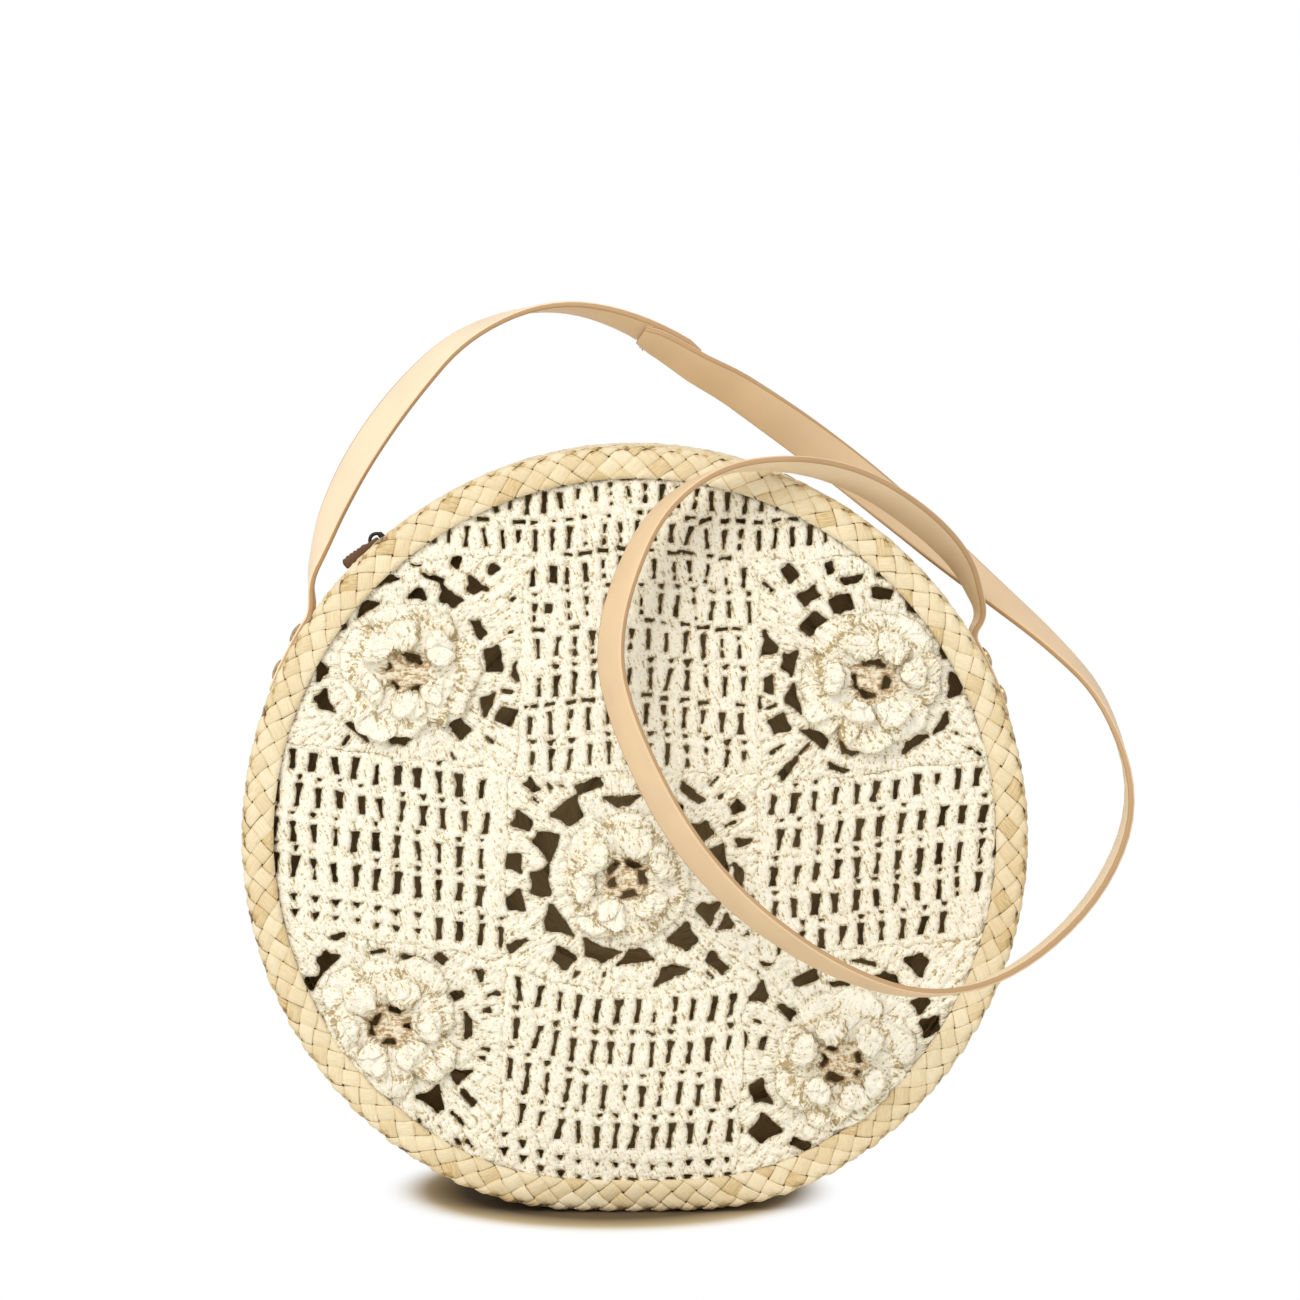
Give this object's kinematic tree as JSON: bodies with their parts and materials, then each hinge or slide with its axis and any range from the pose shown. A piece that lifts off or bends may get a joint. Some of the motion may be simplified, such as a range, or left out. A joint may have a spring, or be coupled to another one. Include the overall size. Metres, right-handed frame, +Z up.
{
  "type": "circle bag",
  "caption": "Round shoulder bag of palm plait with an openwork crochet flower front, a zipped mouth in the side wall and a flat leather strap.",
  "frame": {"origin": "centre of the flat on the round side that the bag stands on", "axes": "+Z up, the crochet front faces -Y, +X to the right of someone facing the front; the round bag's axis is along Y"},
  "size_m": [0.365, 0.142, 0.3718],
  "materials": {
    "palm_plait": "matte",
    "crochet_yarn": "matte",
    "strap_leather": "satin",
    "pull_leather": "satin",
    "zip_tape": "matte",
    "zip_coil": "satin",
    "zip_metal": "satin",
    "rivet_brass": "satin"
  },
  "bodies": {
    "bag": {"back_panel": "palm_plait", "back_rim": "palm_plait", "crochet_bottom": "crochet_yarn", "crochet_left": "crochet_yarn", "crochet_right": "crochet_yarn", "crochet_top": "crochet_yarn", "flower_centre_lower": "crochet_yarn", "flower_centre_upper": "crochet_yarn", "flower_lower_left_lower": "crochet_yarn", "flower_lower_left_upper": "crochet_yarn", "flower_lower_right_lower": "crochet_yarn", "flower_lower_right_upper": "crochet_yarn", "flower_upper_left_lower": "crochet_yarn", "flower_upper_left_upper": "crochet_yarn", "flower_upper_right_lower": "crochet_yarn", "flower_upper_right_upper": "crochet_yarn", "front_rim": "palm_plait", "mouth_strip_back": "palm_plait", "mouth_strip_front": "palm_plait", "net_centre": "crochet_yarn", "net_lower_left": "crochet_yarn", "net_lower_right": "crochet_yarn", "net_upper_left": "crochet_yarn", "net_upper_right": "crochet_yarn", "side_wall_lower": "palm_plait", "strap_arch": "strap_leather", "strap_backing_left": "strap_leather", "strap_backing_right": "strap_leather", "strap_loop": "strap_leather", "strap_rivets_left": "rivet_brass", "strap_rivets_right": "rivet_brass", "zip_bottom_stop": "zip_metal", "zip_coil_back": "zip_coil", "zip_coil_front": "zip_coil", "zip_tape_back": "zip_tape", "zip_tape_front": "zip_tape", "zip_top_stops": "zip_metal"},
    "zip_slider": {"zip_slider": "zip_metal"},
    "zip_pull": {"zip_pull": "pull_leather"}
  },
  "joints": [
    {"name": "zip_run", "type": "hinge", "parent": "bag", "child": "zip_slider", "pos_m": [0, 0, 0.153], "axis": [0, 1, 0], "range_deg": [0, 83]},
    {"name": "pull_flip", "type": "hinge", "parent": "zip_slider", "child": "zip_pull", "pos_m": [-0.10742, 0, 0.2732], "axis": [0, 1, 0], "range_deg": [0, 172]}
  ]
}
